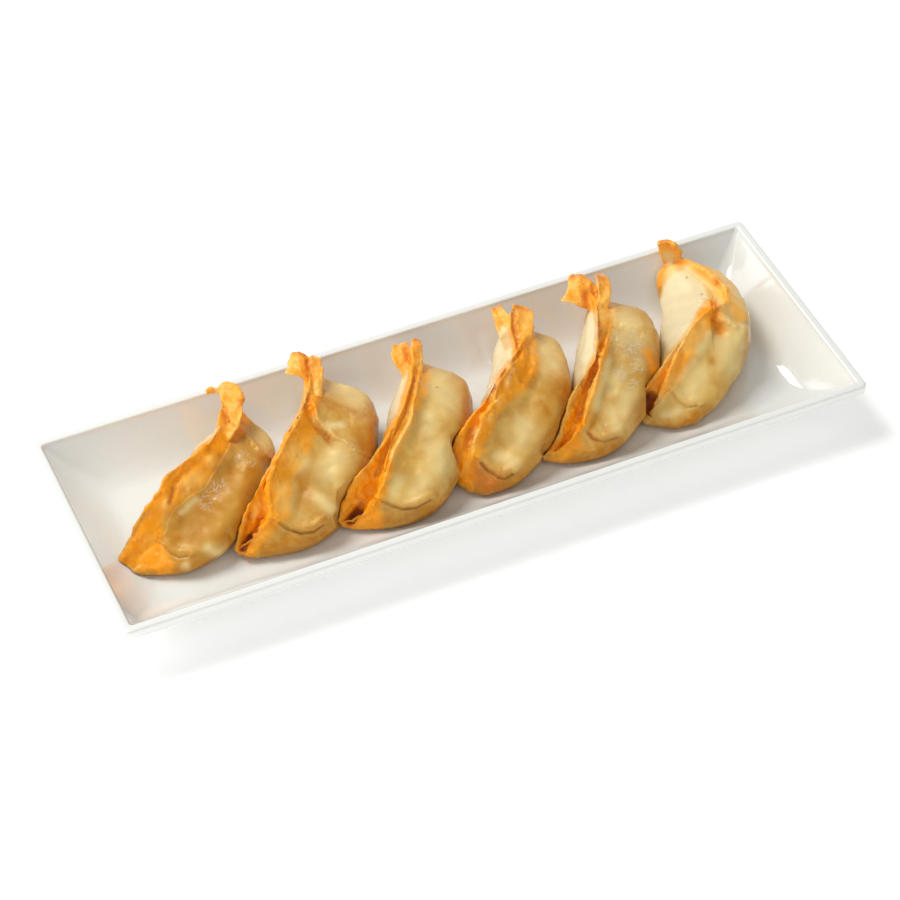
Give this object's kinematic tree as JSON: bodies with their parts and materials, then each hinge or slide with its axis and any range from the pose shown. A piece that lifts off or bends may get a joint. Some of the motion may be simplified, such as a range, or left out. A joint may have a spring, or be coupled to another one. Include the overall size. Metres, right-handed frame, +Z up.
{
  "type": "plate of fried dumplings",
  "caption": "Long rectangular white porcelain plate with a row of fried half-moon dumplings leaning side by side across it.",
  "frame": {"origin": "middle of the plate's foot, on the table", "axes": "+X along the plate, +Y towards its back long side, +Z up"},
  "size_m": [0.3, 0.103, 0.0364],
  "materials": {
    "porcelain": "glossy white glaze",
    "fried_dough": "fried wheat dough, golden with browned edges and an oily sheen"
  },
  "bodies": {
    "root": {"plate": "porcelain", "dumpling_1": "fried_dough", "dumpling_2": "fried_dough", "dumpling_3": "fried_dough", "dumpling_4": "fried_dough", "dumpling_5": "fried_dough", "dumpling_6": "fried_dough"}
  },
  "joints": []
}
